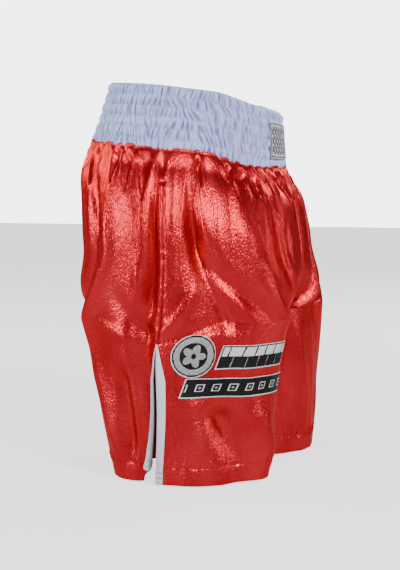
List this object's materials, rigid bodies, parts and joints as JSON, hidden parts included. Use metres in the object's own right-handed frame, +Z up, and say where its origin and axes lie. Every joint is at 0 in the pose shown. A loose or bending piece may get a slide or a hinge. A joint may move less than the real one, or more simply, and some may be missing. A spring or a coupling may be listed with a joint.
{
  "type": "boxing shorts",
  "caption": "Satin fight shorts with a shirred elastic waistband, bound side vents, turned-up hems, a front label and a leg emblem.",
  "frame": {"origin": "under the middle of the garment's outer box, in the plane of the leg hems", "axes": "+Z up to the waist, -Y to the wearer's front, -X to the wearer's right"},
  "size_m": [0.3826, 0.273, 0.4523],
  "materials": {
    "satin": "shiny crepe-backed satin",
    "waistband": "shirred satin, pale blue-white",
    "elastic": "braided elastic",
    "binding": "white satin",
    "label": "silver-grey woven label",
    "thread": "sewing thread",
    "embroidery": "black and grey satin stitch"
  },
  "bodies": {
    "hips": {"waistband_casing": "waistband", "waist_elastic_1": "elastic", "waist_elastic_2": "elastic", "waist_elastic_3": "elastic", "waist_elastic_4": "elastic", "waist_elastic_5": "elastic", "waist_elastic_6": "elastic", "front_label": "label", "right_front_hip_panel": "satin", "right_front_crease_band": "satin", "right_back_hip_panel": "satin", "right_back_crease_band": "satin", "left_front_hip_panel": "satin", "left_front_crease_band": "satin", "left_back_hip_panel": "satin", "left_back_crease_band": "satin"},
    "right_leg": {"right_front_leg_panel": "satin", "right_front_hem_turn_up": "satin", "right_front_vent_binding": "binding", "right_back_leg_panel": "satin", "right_back_hem_turn_up": "satin", "right_back_vent_binding": "binding", "right_vent_bartack": "thread", "emblem_medallion": "embroidery", "emblem_upper_bar": "embroidery", "emblem_lower_bar": "embroidery"},
    "left_leg": {"left_front_leg_panel": "satin", "left_front_hem_turn_up": "satin", "left_front_vent_binding": "binding", "left_back_leg_panel": "satin", "left_back_hem_turn_up": "satin", "left_back_vent_binding": "binding", "left_vent_bartack": "thread"}
  },
  "joints": [
    {"name": "right_leg_swing", "type": "hinge", "parent": "hips", "child": "right_leg", "pos_m": [-0.095, -0.0096, 0.185], "axis": [-1, 0, 0], "range_deg": [-15, 20], "deforming": ["right_front_crease_band", "right_back_crease_band"]},
    {"name": "left_leg_swing", "type": "hinge", "parent": "hips", "child": "left_leg", "pos_m": [0.095, -0.0096, 0.185], "axis": [-1, 0, 0], "range_deg": [-15, 20], "deforming": ["left_front_crease_band", "left_back_crease_band"]}
  ]
}
